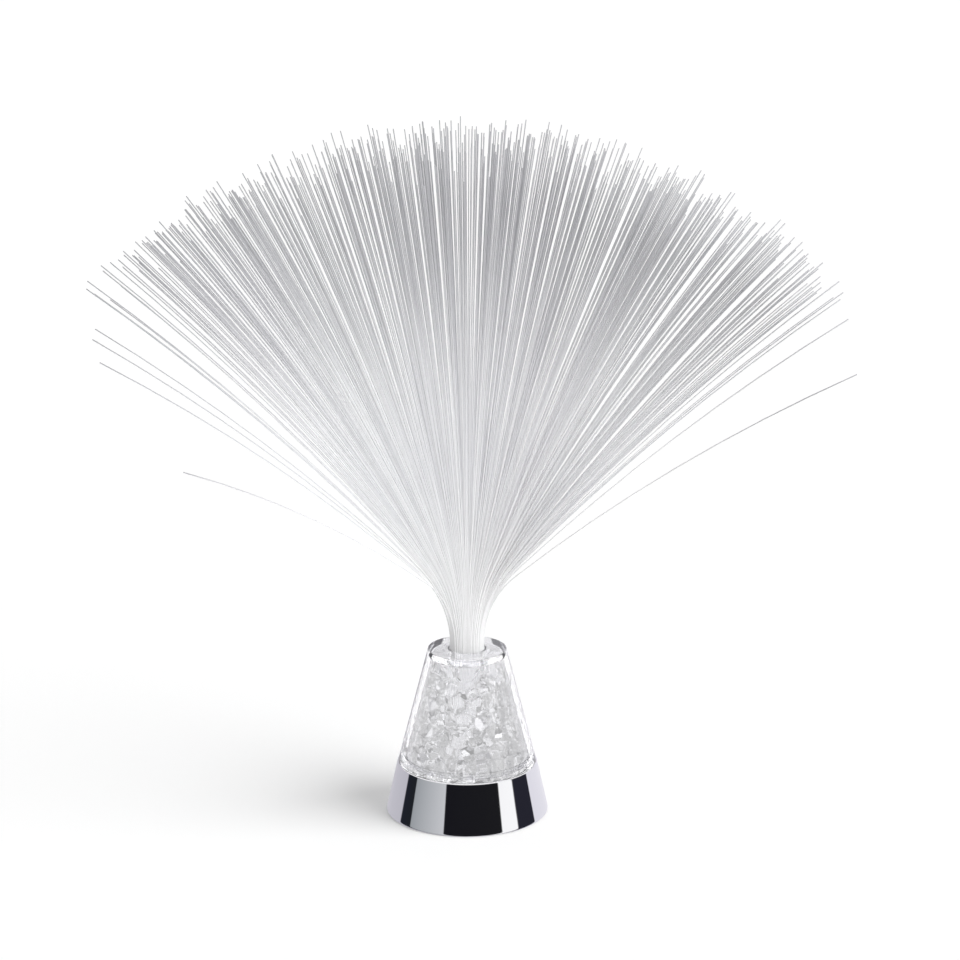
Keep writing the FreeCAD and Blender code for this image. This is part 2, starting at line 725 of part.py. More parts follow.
def make_battery_door():
    """Door plate with a round hinge edge, two stubs, a snap ridge and a thumb hollow."""
    side = TRAY_X - DOOR_GAP
    front = TRAY_Y - DOOR_GAP
    plate = block(-side, side, HINGE_Y, front, COVER_LIFT, COVER_TOP)
    knuckle = hinge_rod(KNUCKLE_RADIUS, -side, side)
    stubs = hinge_rod(STUB_RADIUS, -stub_end(), stub_end())
    middle = COVER_LIFT + COVER_THICKNESS / 2
    low, high = middle - RIDGE_WIDTH / 2, middle + RIDGE_WIDTH / 2
    ridge = block(-RIDGE_LENGTH / 2, RIDGE_LENGTH / 2, front - SEAT, front + RIDGE_HEIGHT, low, high)
    door = fuse(plate, knuckle, stubs, ridge)
    place = Vector(0, front - THUMB_SETBACK, COVER_LIFT + THUMB_DEPTH - THUMB_RADIUS)
    return door.cut(Part.makeSphere(THUMB_RADIUS, place))


def make_cell(y, end):
    """One battery cell with its nub."""
    x0 = -CELL_LENGTH / 2
    can = Part.makeCylinder(CELL_RADIUS, CELL_LENGTH - NUB_HEIGHT, Vector(x0, y, CELL_Z), Vector(1, 0, 0))
    can = can.makeFillet(CELL_ROUND, [e for e in can.Edges if isinstance(e.Curve, Part.Circle)])
    nub_x = CELL_LENGTH / 2 - 2 * NUB_HEIGHT
    nub = Part.makeCylinder(NUB_RADIUS, 2 * NUB_HEIGHT, Vector(nub_x, y, CELL_Z), Vector(1, 0, 0))
    cell = fuse(can, nub)
    if end < 0:
        cell.rotate(Vector(0, y, 0), UP, 180)
    return cell


def make_contact_plates():
    """Flat contacts at both ends of each cell. The first and the last have a solder tag."""
    half = CONTACT_SIZE / 2
    tags = tag_rows()
    plates = []
    for y, end in cell_rows():
        for side in (-1, 1):
            if side == end:
                near = TRAY_X - END_ROOM + SEAT
            else:
                near = TRAY_X - CONTACT_THICKNESS
            x0, x1 = sorted((side * near, side * (near + CONTACT_THICKNESS)))
            plate = block(x0, x1, y - half, y + half, CELL_Z - half, CELL_Z + half)
            if (side, y) in tags:
                plate = fuse(plate, tag_block(side, y, 0.0))
            plates.append(plate)
    return Part.makeCompound(plates)


def make_contact_springs():
    """Outer shape of the conical spring at each cell's flat end, hollow inside."""
    springs = []
    for y, end in cell_rows():
        foot = Vector(-end * (TRAY_X - CONTACT_THICKNESS), y, CELL_Z)
        height = END_ROOM - CONTACT_THICKNESS - SEAT
        way = Vector(end, 0, 0)
        outer = Part.makeCone(SPRING_WIDE_RADIUS, SPRING_NARROW_RADIUS, height, foot, way)
        bore = Part.makeCylinder(SPRING_NARROW_RADIUS - SPRING_WALL, height, foot, way)
        springs.append(outer.cut(bore))
    return Part.makeCompound(springs)


def make_board():
    """Round circuit board with its screw holes."""
    board = disc(BOARD_RADIUS, BOARD_Z, BOARD_TOP)
    holes = []
    for x, y in board_screw_places():
        holes.append(disc(BOARD_SCREW_RADIUS + FIT, BOARD_Z - SEAT, BOARD_TOP + SEAT, x, y))
    return board.cut(Part.makeCompound(holes))


def make_leds():
    """Light emitters on the board, under the bundle."""
    half = LED_SIDE / 2
    top = BOARD_TOP + LED_HEIGHT
    leds = []
    for k in range(LED_COUNT):
        body = block(LED_CIRCLE - half, LED_CIRCLE + half, -half, half, BOARD_TOP, top)
        lens = disc(LED_LENS_RADIUS, top, top + LED_LENS_HEIGHT, LED_CIRCLE, 0)
        leds.append(turned(fuse(body, lens), LED_TURN + 360 * k / LED_COUNT))
    return Part.makeCompound(leds)


def on_board(length, width, height, angle):
    """Small part on the board's outer ring."""
    near, far = PART_CIRCLE - width / 2, PART_CIRCLE + width / 2
    body = block(near, far, -length / 2, length / 2, BOARD_TOP, BOARD_TOP + height)
    return turned(body, angle)


def make_reflector():
    """White ring that keeps the light under the bundle."""
    return disc(REFLECTOR_RADIUS, BOARD_TOP, DECK_Z).cut(
        disc(REFLECTOR_RADIUS - REFLECTOR_WALL, BOARD_TOP, DECK_Z)
    )


def switch_block(x, length, width, z0, z1):
    """Box on the switch's middle line."""
    return block(x - length / 2, x + length / 2, SWITCH_Y - width / 2, SWITCH_Y + width / 2, z0, z1)


def make_switch_housing():
    """Switch body on the cover, hollow where the knob's shoulder slides."""
    outer = switch_block(0, SWITCH_LENGTH, SWITCH_WIDTH, COVER_TOP, COVER_TOP + SWITCH_HEIGHT)
    length = SWITCH_TRAVEL + SHOULDER_LENGTH + 2 * FIT
    width = SHOULDER_WIDTH + 2 * FIT
    top = COVER_TOP + SEAT + SHOULDER_HEIGHT + SHOULDER_ROOM
    return outer.cut(switch_block(0, length, width, COVER_TOP - SEAT, top))


def make_switch_terminals():
    """Three blades on top of the switch."""
    length, width, height = TERMINAL_SIZE
    top = COVER_TOP + SWITCH_HEIGHT
    blades = [switch_block(k * TERMINAL_PITCH, length, width, top, top + height) for k in (-1, 0, 1)]
    return Part.makeCompound(blades)


def make_switch_knob():
    """Sliding knob in its off place, at the left end of its slot."""
    x = -SWITCH_TRAVEL / 2
    cap_foot = COVER_LIFT - KNOB_DROP
    cap_top = COVER_LIFT - SEAT
    cap = switch_block(x, KNOB_LENGTH, KNOB_WIDTH, cap_foot, cap_top)
    grooves = []
    for k in (-1, 0, 1):
        middle = x + k * KNOB_LENGTH / 4
        grooves.append(
            switch_block(middle, GROOVE_WIDTH, 2 * KNOB_WIDTH, cap_foot - SEAT, cap_foot + GROOVE_DEPTH)
        )
    cap = cap.cut(Part.makeCompound(grooves))
    stem = switch_block(x, STEM_LENGTH, STEM_WIDTH, cap_top, COVER_TOP + 2 * SEAT)
    shoulder_z = COVER_TOP + SEAT
    shoulder = switch_block(x, SHOULDER_LENGTH, SHOULDER_WIDTH, shoulder_z, shoulder_z + SHOULDER_HEIGHT)
    return fuse(cap, stem, shoulder)


def terminal_top(k):
    """Top of a switch blade: the left one is -1, the middle one 0 and the right one 1."""
    return Vector(k * TERMINAL_PITCH, SWITCH_Y, COVER_TOP + SWITCH_HEIGHT + TERMINAL_SIZE[2])


def make_battery_lead():
    """Wire from the last cell's contact, over the tray's edge, to the board."""
    side, y = tag_rows()[1]
    x = side * (TRAY_X + TRAY_WALL + TAG_PROUD)
    out = x + side * LEAD_REACH
    pad_x = side * math.sqrt(LEAD_PAD ** 2 - y ** 2)
    points = [
        Vector(x, y, CELL_Z),
        Vector(out, y, CELL_Z),
        Vector(out, y, LEAD_Z),
        Vector(pad_x, y, LEAD_Z),
        Vector(pad_x, y, BOARD_TOP),
    ]
    return wire_tube(points, LEAD_RADIUS, lead_bend(BOARD_DROP / 2))


def lead_bend(shortest):
    """Bend radius of a wire, limited by its shortest run."""
    return min(LEAD_BEND, LEAD_BEND_SHARE * shortest)


def make_switch_lead():
    """Wire from the first cell's contact, round the tray's corner, to the switch."""
    side, y = tag_rows()[0]
    x = side * (TRAY_X + TRAY_WALL + TAG_PROUD)
    out = x + side * LEAD_REACH
    beside = LEAD_RADIUS + LEAD_ROOM
    corner_x = side * (TRAY_X + TRAY_WALL + beside)
    corner_y = -TRAY_Y - TRAY_WALL - beside
    end = terminal_top(-1)
    height = end.z + LEAD_RISE
    points = [
        Vector(x, y, CELL_Z),
        Vector(out, y, CELL_Z),
        Vector(out, y, height),
        Vector(corner_x, corner_y, height),
        Vector(end.x, corner_y, height),
        Vector(end.x, end.y, height),
        end,
    ]
    return wire_tube(points, LEAD_RADIUS, lead_bend(height - CELL_Z))


def make_board_lead():
    """Wire from the switch up to the board."""
    start = terminal_top(0)
    points = [
        start,
        Vector(0, SWITCH_Y, LEAD_Z),
        Vector(0, -LEAD_PAD, LEAD_Z),
        Vector(0, -LEAD_PAD, BOARD_TOP),
    ]
    return wire_tube(points, LEAD_RADIUS, lead_bend(BOARD_DROP / 2))


def make_cover_screws():
    """Screws that hold the bottom cover."""
    z = COVER_LIFT + SEAT / 2
    screws = []
    for x, y in cover_screw_places():
        screws.append(
            screw(x, y, z, COVER_SCREW_RADIUS, COVER_SCREW_LENGTH, COVER_HEAD_RADIUS, COVER_HEAD_HEIGHT)
        )
    return Part.makeCompound(screws)


def make_board_screws():
    """Screws that hold the circuit board."""
    z = BOARD_Z - BOARD_HEAD_HEIGHT
    screws = []
    for x, y in board_screw_places():
        screws.append(
            screw(x, y, z, BOARD_SCREW_RADIUS, BOARD_SCREW_LENGTH, BOARD_HEAD_RADIUS, BOARD_HEAD_HEIGHT)
        )
    return Part.makeCompound(screws)


def main():
    """Builds every node and writes its file."""
    nodes = {
        "base_shell": make_base_shell(),
        "bottom_cover": make_bottom_cover(),
        "battery_door": make_battery_door(),
        "cover_screws": make_cover_screws(),
        "circuit_board": make_board(),
        "board_screws": make_board_screws(),
        "leds": make_leds(),
        "led_reflector": make_reflector(),
        "controller_chip": on_board(CHIP_LENGTH, CHIP_WIDTH, CHIP_HEIGHT, CONTROLLER_ANGLE),
        "resistors": Part.makeCompound([on_board(*RESISTOR_SIZE, angle) for angle in RESISTOR_ANGLES]),
        "contact_plates": make_contact_plates(),
        "contact_springs": make_contact_springs(),
        "switch_housing": make_switch_housing(),
        "switch_terminals": make_switch_terminals(),
        "switch_knob": make_switch_knob(),
        "battery_lead": make_battery_lead(),
        "switch_lead": make_switch_lead(),
        "board_lead": make_board_lead(),
        "clear_cone": make_clear_cone(),
        "fibre_sleeve": make_sleeve(),
        "crystals": make_crystals(),
        "fibres": make_fibres(),
    }
    for number, (y, end) in enumerate(cell_rows(), 1):
        nodes[f"battery_cell_{number}"] = make_cell(y, end)
    os.makedirs("parts", exist_ok=True)
    for name, shape in nodes.items():
        shape.exportStep(f"parts/{name}.step")
        state = "valid" if shape.isValid() else "not valid"
        print(name, len(shape.Solids), "solids", state, round(shape.Volume, 1))


main()
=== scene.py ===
import logging
import math
from dataclasses import dataclass, field
from enum import Enum

import bpy
import numpy as np
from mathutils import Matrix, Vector


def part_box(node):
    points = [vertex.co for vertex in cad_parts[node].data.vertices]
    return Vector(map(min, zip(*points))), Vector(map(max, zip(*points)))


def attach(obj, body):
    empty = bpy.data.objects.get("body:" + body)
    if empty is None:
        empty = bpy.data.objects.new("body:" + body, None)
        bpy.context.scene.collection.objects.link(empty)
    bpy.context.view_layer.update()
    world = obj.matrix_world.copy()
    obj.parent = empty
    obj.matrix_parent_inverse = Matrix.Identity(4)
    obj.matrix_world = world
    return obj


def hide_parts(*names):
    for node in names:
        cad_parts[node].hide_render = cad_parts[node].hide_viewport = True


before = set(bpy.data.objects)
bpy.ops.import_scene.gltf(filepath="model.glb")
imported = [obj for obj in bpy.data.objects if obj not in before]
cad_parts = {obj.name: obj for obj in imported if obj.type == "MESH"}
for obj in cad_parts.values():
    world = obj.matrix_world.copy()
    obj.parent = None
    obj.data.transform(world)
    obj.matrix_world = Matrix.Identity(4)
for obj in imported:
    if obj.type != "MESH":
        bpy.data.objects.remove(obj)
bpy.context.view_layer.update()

LOG = logging.getLogger("lamp")
MM = 0.001
GOLDEN_ANGLE = math.pi * (3 - math.sqrt(5))
FLAT_SHARE = 0.5

Colour = tuple[float, float, float]
WHITE: Colour = (1.0, 1.0, 1.0)


class Body(Enum):
    """Body that the remade pieces move with; the door and the switch knob are carried-over nodes."""

    LAMP = "lamp"


class Wave(Enum):
    """Kinds of surface waviness, by the size of their waves."""

    GRAIN = 2400.0
    RIPPLE = 180.0
    SMUDGE = 45.0


# Surfaces


def mesh_object(
    name: str, points: np.ndarray, faces: list[np.ndarray], smooth: bool = True
) -> bpy.types.Object:
    """Makes a mesh object at the origin from whole arrays.

    Args:
        name: The piece's name.
        points: Corners, one row each, in metres.
        faces: Arrays of corner numbers, one row for each face; each array has faces of one size.
        smooth: Whether its faces are shaded smooth.

    Returns:
        The new object, linked into the scene.
    """
    mesh = bpy.data.meshes.new(name)
    sizes = np.concatenate([np.full(len(part), part.shape[1]) for part in faces])
    starts = np.concatenate([[0], np.cumsum(sizes)[:-1]])
    mesh.vertices.add(len(points))
    mesh.vertices.foreach_set("co", np.asarray(points, np.float32).ravel())
    mesh.loops.add(int(sizes.sum()))
    corners = np.concatenate([part.ravel() for part in faces]).astype(np.int32)
    mesh.loops.foreach_set("vertex_index", corners)
    mesh.polygons.add(len(sizes))
    mesh.polygons.foreach_set("loop_start", starts.astype(np.int32))
    mesh.polygons.foreach_set("use_smooth", np.full(len(sizes), smooth))
    mesh.update(calc_edges=True)
    mesh.validate()
    piece = bpy.data.objects.new(name, mesh)
    bpy.context.scene.collection.objects.link(piece)
    return piece


def rounded_profile(corners: list[tuple[float, float, float]], steps: int = 6) -> np.ndarray:
    """Closed outline with rounded corners: each corner is replaced by an arc tangent to both sides.

    Next to each arc stands one more point on either side, so that the shading stays flat between arcs.

    Args:
        corners: Radius, height and corner radius of each corner, in order round the section.
        steps: Spans of each arc.

    Returns:
        Points of the outline, radius and height.
    """
    outline = []
    count = len(corners)
    for k, (x, z, size) in enumerate(corners):
        here = np.array([x, z])
        into = here - np.array(corners[k - 1][:2])
        away = np.array(corners[(k + 1) % count][:2]) - here
        into_way, away_way = into / np.linalg.norm(into), away / np.linalg.norm(away)
        cross = into_way[0] * away_way[1] - into_way[1] * away_way[0]
        turn = math.atan2(cross, float(into_way @ away_way))
        reach = size * abs(math.tan(turn / 2))
        start, end = here - into_way * reach, here + away_way * reach
        side = np.array([-into_way[1], into_way[0]]) * math.copysign(1.0, turn)
        centre = start + side * size
        angle = np.linspace(0, turn, steps + 1)[:, None]
        arm = start - centre
        turned = np.array([-arm[1], arm[0]])
        arc = centre + arm * np.cos(angle) + turned * np.sin(angle)
        outline += [start - into_way * size * FLAT_SHARE, *arc, end + away_way * size * FLAT_SHARE]
    return np.array(outline)


def revolved(name: str, outline: np.ndarray, sides: int) -> bpy.types.Object:
    """Surface of revolution: each outline point (r, z) goes to (r cos a, r sin a, z) for every angle a.

    Args:
        name: The piece's name.
        outline: Closed outline that runs with the solid on its left, radius and height in metres.
        sides: Steps round the axis.

    Returns:
        The new closed ring.
    """
    angle = np.arange(sides) / sides * 2 * math.pi
    r, z = outline[:, 0][:, None], outline[:, 1][:, None]
    points = np.stack([r * np.cos(angle), r * np.sin(angle), z + 0 * angle], axis=-1).reshape(-1, 3)
    row, col = np.meshgrid(np.arange(len(outline)), np.arange(sides), indexing="ij")
    after, beside = (row + 1) % len(outline), (col + 1) % sides
    faces = np.stack(
        [row * sides + col, row * sides + beside, after * sides + beside, after * sides + col], axis=-1
    )
    return mesh_object(name, points, [faces.reshape(-1, 4)])


# Finishes


@dataclass
class Shader:
    """One node material while it is being built."""

    name: str
    material: bpy.types.Material = field(init=False)

    def __post_init__(self) -> None:
        """Starts the material with an empty Principled surface."""
        self.material = bpy.data.materials.new(self.name)
        self.material.use_nodes = True
        self.tree = self.material.node_tree
        self.tree.nodes.clear()
        self.out = self.tree.nodes.new("ShaderNodeOutputMaterial")
        self.surface = self.tree.nodes.new("ShaderNodeBsdfPrincipled")
        self.link(self.surface.outputs["BSDF"], self.out.inputs["Surface"])

    def link(self, source: bpy.types.NodeSocket, target: bpy.types.NodeSocket) -> None:
        """Links two sockets."""
        self.tree.links.new(source, target)

    def set(self, **values: object) -> "Shader":
        """Sets sockets of the Principled surface; underscores stand for spaces.

        Args:
            values: Socket names and their constants.

        Returns:
            The shader itself.
        """
        for name, value in values.items():
            self.surface.inputs[name.replace("_", " ")].default_value = value
        return self

    def coordinates(self) -> bpy.types.NodeSocket:
        """Object coordinates, in metres."""
        return self.tree.nodes.new("ShaderNodeTexCoord").outputs["Object"]

    def height(self) -> bpy.types.NodeSocket:
        """Height above the floor, in metres."""
        node = self.tree.nodes.new("ShaderNodeSeparateXYZ")
        self.link(self.coordinates(), node.inputs["Vector"])
        return node.outputs["Z"]

    def total(self, first: bpy.types.NodeSocket, second: bpy.types.NodeSocket) -> bpy.types.NodeSocket:
        """Sum of two numbers."""
        node = self.tree.nodes.new("ShaderNodeMath")
        node.operation = "ADD"
        self.link(first, node.inputs[0])
        self.link(second, node.inputs[1])
        return node.outputs["Value"]

    def noise(self, scale: float, detail: float = 3.0) -> bpy.types.NodeSocket:
        """Noise that runs from 0 to 1.

        Args:
            scale: Waves for each metre.
            detail: Octaves.

        Returns:
            The noise's factor socket.
        """
        node = self.tree.nodes.new("ShaderNodeTexNoise")
        node.inputs["Scale"].default_value = scale
        node.inputs["Detail"].default_value = detail
        self.link(self.coordinates(), node.inputs["Vector"])
        return node.outputs["Fac"]

    def ranged(self, source: bpy.types.NodeSocket, low: float, high: float) -> bpy.types.NodeSocket:
        """Maps 0..1 to a range.

        Args:
            source: Socket that runs from 0 to 1.
            low: Result at 0.
            high: Result at 1.

        Returns:
            The mapped socket.
        """
        node = self.tree.nodes.new("ShaderNodeMapRange")
        node.inputs["To Min"].default_value = low
        node.inputs["To Max"].default_value = high
        self.link(source, node.inputs["Value"])
        return node.outputs["Result"]

    def blend(self, factor: bpy.types.NodeSocket, first: Colour, second: Colour) -> bpy.types.NodeSocket:
        """Mixes two colours.

        Args:
            factor: Share of the second colour.
            first: Colour at 0.
            second: Colour at 1.

        Returns:
            The mixed colour.
        """
        node = self.tree.nodes.new("ShaderNodeMix")
        node.data_type = "RGBA"
        node.inputs["A"].default_value = (*first, 1.0)
        node.inputs["B"].default_value = (*second, 1.0)
        self.link(factor, node.inputs["Factor"])
        return node.outputs["Result"]

    def step(self, source: bpy.types.NodeSocket, low: float, high: float) -> bpy.types.NodeSocket:
        """Smooth step that is 0 below a level and 1 above another.

        Args:
            source: Number to test.
            low: Where the step starts.
            high: Where it ends.

        Returns:
            The step's socket.
        """
        node = self.tree.nodes.new("ShaderNodeMapRange")
        node.interpolation_type = "SMOOTHSTEP"
        node.inputs["From Min"].default_value = low
        node.inputs["From Max"].default_value = high
        self.link(source, node.inputs["Value"])
        return node.outputs["Result"]

    def mix(
        self, factor: bpy.types.NodeSocket, first: bpy.types.NodeSocket, second: Colour
    ) -> bpy.types.NodeSocket:
        """Mixes a linked colour with a fixed one.

        Args:
            factor: Share of the fixed colour.
            first: Linked colour.
            second: Fixed colour.

        Returns:
            The mixed colour.
        """
        node = self.tree.nodes.new("ShaderNodeMix")
        node.data_type = "RGBA"
        self.link(factor, node.inputs["Factor"])
        self.link(first, node.inputs["A"])
        node.inputs["B"].default_value = (*second, 1.0)
        return node.outputs["Result"]

    def attribute(self, name: str) -> bpy.types.NodeSocket:
        """Number kept on the mesh under a name."""
        node = self.tree.nodes.new("ShaderNodeAttribute")
        node.attribute_name = name
        return node.outputs["Fac"]

    def bump(self, wave: Wave, depth: float) -> None:
        """Adds waviness to the surface.

        Args:
            wave: Size of the waves.
            depth: Height of the waves in metres.
        """
        node = self.tree.nodes.new("ShaderNodeBump")
        node.inputs["Strength"].default_value = 1.0
        node.inputs["Distance"].default_value = depth
        self.link(self.noise(wave.value), node.inputs["Height"])
        self.link(node.outputs["Normal"], self.surface.inputs["Normal"])


@dataclass(frozen=True)
class ChromePlate:
    """Bright plate on moulded plastic, with faint waves and wiped smudges."""

    colour: Colour = (0.93, 0.93, 0.95)
    roughness: tuple[float, float] = (0.015, 0.05)
    smudge: float = 0.96
    wave_depth: float = 0.00002

    def make(self) -> bpy.types.Material:
        """Builds the material."""
        shader = Shader("chrome_plate")
        shader.set(Metallic=1.0)
        tint = shader.ranged(shader.noise(Wave.SMUDGE.value), 0.0, 1.0)
        duller = tuple(self.smudge * c for c in self.colour)
        shader.link(shader.blend(tint, self.colour, duller), shader.surface.inputs["Base Color"])
        rough = shader.ranged(shader.noise(Wave.RIPPLE.value), *self.roughness)
        shader.link(rough, shader.surface.inputs["Roughness"])
        shader.bump(Wave.SMUDGE, self.wave_depth)
        return shader.material


@dataclass(frozen=True)
class ClearPlastic:
    """Clear moulded plastic with faint flow waves."""

    name: str = "clear_plastic"
    colour: Colour = (0.885, 0.885, 0.9)
    roughness: tuple[float, float] = (0.0, 0.01)
    ior: float = 1.15
    wave_depth: float = 0.00001
    # Painted light: a faint emission that brightens the clear plastic.
    glow: float = 0.005
    coat: float = 1.0
    coat_ior: float = 1.49
    cloud: float = 0.97

    def make(self) -> bpy.types.Material:
        """Builds the material."""
        shader = Shader(self.name)
        shader.set(Transmission_Weight=1.0, IOR=self.ior, Coat_Weight=self.coat, Coat_IOR=self.coat_ior)
        # Painted light: faint emission on the clear plastic.
        shader.set(Emission_Color=(*WHITE, 1.0), Emission_Strength=self.glow)
        tint = shader.noise(Wave.RIPPLE.value)
        duller = tuple(self.cloud * c for c in self.colour)
        shader.link(shader.blend(tint, self.colour, duller), shader.surface.inputs["Base Color"])
        rough = shader.ranged(shader.noise(Wave.RIPPLE.value), *self.roughness)
        shader.link(rough, shader.surface.inputs["Roughness"])
        shader.bump(Wave.SMUDGE, self.wave_depth)
        return shader.material


@dataclass(frozen=True)
class FibrePlastic:
    """Light fibre: pale and glossy, with painted light in its colour, white near the foot where the light
    leaks out, and painted shade, greyer at the tip.
    """

    pale: Colour = (0.85, 0.85, 0.86)
    shade: Colour = (0.71, 0.71, 0.73)
    # Painted shade: colour that greys the outer ends of the fibres.
    shaded_tip: Colour = (0.46, 0.46, 0.48)
    # Painted light: colour that whitens the fibres near the foot.
    foot: Colour = (0.83, 0.83, 0.835)
    glow: float = 0.045
    # Painted light: emission on the fibres inside the cone, standing in for light that would pass through the
    # clear walls.
    inside_painted_light: float = 0.5
    inner_top: float = 78.8 * MM
    roughness: float = 0.3
    ior: float = 1.49
    foot_light_fades: tuple[float, float] = (0.05, 0.4)
    tip_shade_grows: tuple[float, float] = (0.45, 1.0)

    def make(self) -> bpy.types.Material:
        """Builds the material."""
        shader = Shader("fibre_plastic")
        shader.set(Roughness=self.roughness, IOR=self.ior, Emission_Color=(*WHITE, 1.0))
        own = shader.blend(shader.attribute("fibre_tone"), self.pale, self.shade)
        way = shader.attribute("fibre_way")
        # Painted shade greys each fibre towards its tip.
        tip_shaded = shader.mix(shader.step(way, *self.tip_shade_grows), own, self.shaded_tip)
        # Painted light whitens each fibre near its foot.
        foot_light_share = shader.ranged(shader.step(way, *self.foot_light_fades), 1.0, 0.0)
        lit_near_foot = shader.mix(foot_light_share, tip_shaded, self.foot)
        shader.link(lit_near_foot, shader.surface.inputs["Base Color"])
        leaked = shader.ranged(shader.attribute("fibre_glow"), 0.0, self.glow)
        # Painted light: the fibres glow below the cone's top, standing in for light that would pass through
        # the clear walls.
        above = shader.step(shader.height(), self.inner_top - MM, self.inner_top)
        inside = shader.ranged(above, self.inside_painted_light, 0.0)
        shader.link(shader.total(leaked, inside), shader.surface.inputs["Emission Strength"])
        return shader.material


@dataclass(frozen=True)
class MouldedPlastic:
    """Plain moulded plastic with a fine grain."""

    name: str
    colour: Colour
    roughness: float = 0.5
    depth: float = 0.00002
    stain: float = 0.8
    spread: float = 0.08

    def make(self) -> bpy.types.Material:
        """Builds the material."""
        shader = Shader(self.name)
        duller = tuple(self.stain * c for c in self.colour)
        tint = shader.blend(shader.noise(Wave.SMUDGE.value), self.colour, duller)
        shader.link(tint, shader.surface.inputs["Base Color"])
        low, high = self.roughness - self.spread, self.roughness + self.spread
        rough = shader.ranged(shader.noise(Wave.RIPPLE.value), low, high)
        shader.link(rough, shader.surface.inputs["Roughness"])
        shader.bump(Wave.GRAIN, self.depth)
        return shader.material


@dataclass(frozen=True)
class PlatedMetal:
    """Small plated metal pieces, slightly brushed."""

    name: str
    colour: Colour
    roughness: float = 0.3
    depth: float = 0.000005
    stain: float = 0.75
    spread: float = 0.1

    def make(self) -> bpy.types.Material:
        """Builds the material."""
        shader = Shader(self.name)
        shader.set(Metallic=1.0)
        duller = tuple(self.stain * c for c in self.colour)
        tint = shader.blend(shader.noise(Wave.RIPPLE.value), self.colour, duller)
        shader.link(tint, shader.surface.inputs["Base Color"])
        low, high = self.roughness - self.spread, self.roughness + self.spread
        rough = shader.ranged(shader.noise(Wave.GRAIN.value), low, high)
        shader.link(rough, shader.surface.inputs["Roughness"])
        shader.bump(Wave.GRAIN, self.depth)
        return shader.material


def dress(piece: bpy.types.Object, material: bpy.types.Material) -> None:
    """Gives a whole piece one material."""
    piece.data.materials.clear()
    piece.data.materials.append(material)


def dress_nodes(names: tuple[str, ...], material: bpy.types.Material) -> None:
    """Gives carried-over nodes one material."""
    for name in names:
        dress(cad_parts[name], material)


# Sub-assemblies


@dataclass
class Base:
    """Chrome base: a hollow truncated cone with a deck, and what it holds."""

    foot_radius: float = 37.9 * MM
    taper: float = 0.222
    wall: float = 2.0 * MM
    height: float = 24.3 * MM
    deck: float = 2.2 * MM
    edge: float = 0.9 * MM
    fine_share: float = 0.25
    hole_radius: float = 9.2 * MM
    sides: int = 320
    inside: tuple[tuple[tuple[str, ...], MouldedPlastic | PlatedMetal], ...] = (
        (
            ("bottom_cover", "battery_door", "switch_housing"),
            MouldedPlastic("black_plastic", (0.022, 0.022, 0.024), 0.55),
        ),
        (("switch_knob",), MouldedPlastic("knob_plastic", (0.05, 0.05, 0.052), 0.4)),
        (("led_reflector",), MouldedPlastic("white_plastic", (0.85, 0.85, 0.83), 0.35)),
        (("leds",), MouldedPlastic("led_package", (0.88, 0.87, 0.78), 0.3)),
        (("circuit_board",), MouldedPlastic("solder_mask", (0.02, 0.16, 0.06), 0.3)),
        (("controller_chip", "resistors"), MouldedPlastic("black_epoxy", (0.015, 0.015, 0.015))),
        (("battery_lead",), MouldedPlastic("red_insulation", (0.5, 0.02, 0.02), 0.4)),
        (("switch_lead", "board_lead"), MouldedPlastic("black_insulation", (0.015, 0.015, 0.015), 0.4)),
        (
            ("battery_cell_1", "battery_cell_2", "battery_cell_3"),
            MouldedPlastic("cell_sleeve", (0.04, 0.09, 0.2), 0.25),
        ),
        (("contact_plates", "contact_springs"), PlatedMetal("nickel_plate", (0.72, 0.7, 0.66))),
        (("cover_screws", "board_screws"), PlatedMetal("zinc_plate", (0.62, 0.62, 0.64))),
        (("switch_terminals",), PlatedMetal("tinned_brass", (0.72, 0.6, 0.36))),
    )

    def outline(self) -> np.ndarray:
        """Section of the shell: outer wall, deck, light hole and inner wall."""
        top = self.foot_radius - self.taper * self.height
        under = self.height - self.deck
        inner_top = self.foot_radius - self.taper * under - self.wall
        small = self.edge * self.fine_share
        return rounded_profile([
            (self.foot_radius - self.wall, 0.0, small),
            (self.foot_radius, 0.0, self.edge),
            (top, self.height, self.edge),
            (self.hole_radius, self.height, small),
            (self.hole_radius, under, small),
            (inner_top, under, small),
        ])

    def build(self) -> list[bpy.types.Object]:
        """Makes the shell and dresses the pieces in and under it."""
        self.foot_radius = float(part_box("base_shell")[1][0])
        shell = revolved("chrome_shell", self.outline(), self.sides)
        dress(shell, ChromePlate().make())
        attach(shell, Body.LAMP.value)
        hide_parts("base_shell")
        self.dress_inside()
        return [shell]

    def dress_inside(self) -> None:
        """Dresses the cover, the door, the cells, the board and the wires."""
        for nodes, finish in self.inside:
            dress_nodes(nodes, finish.make())


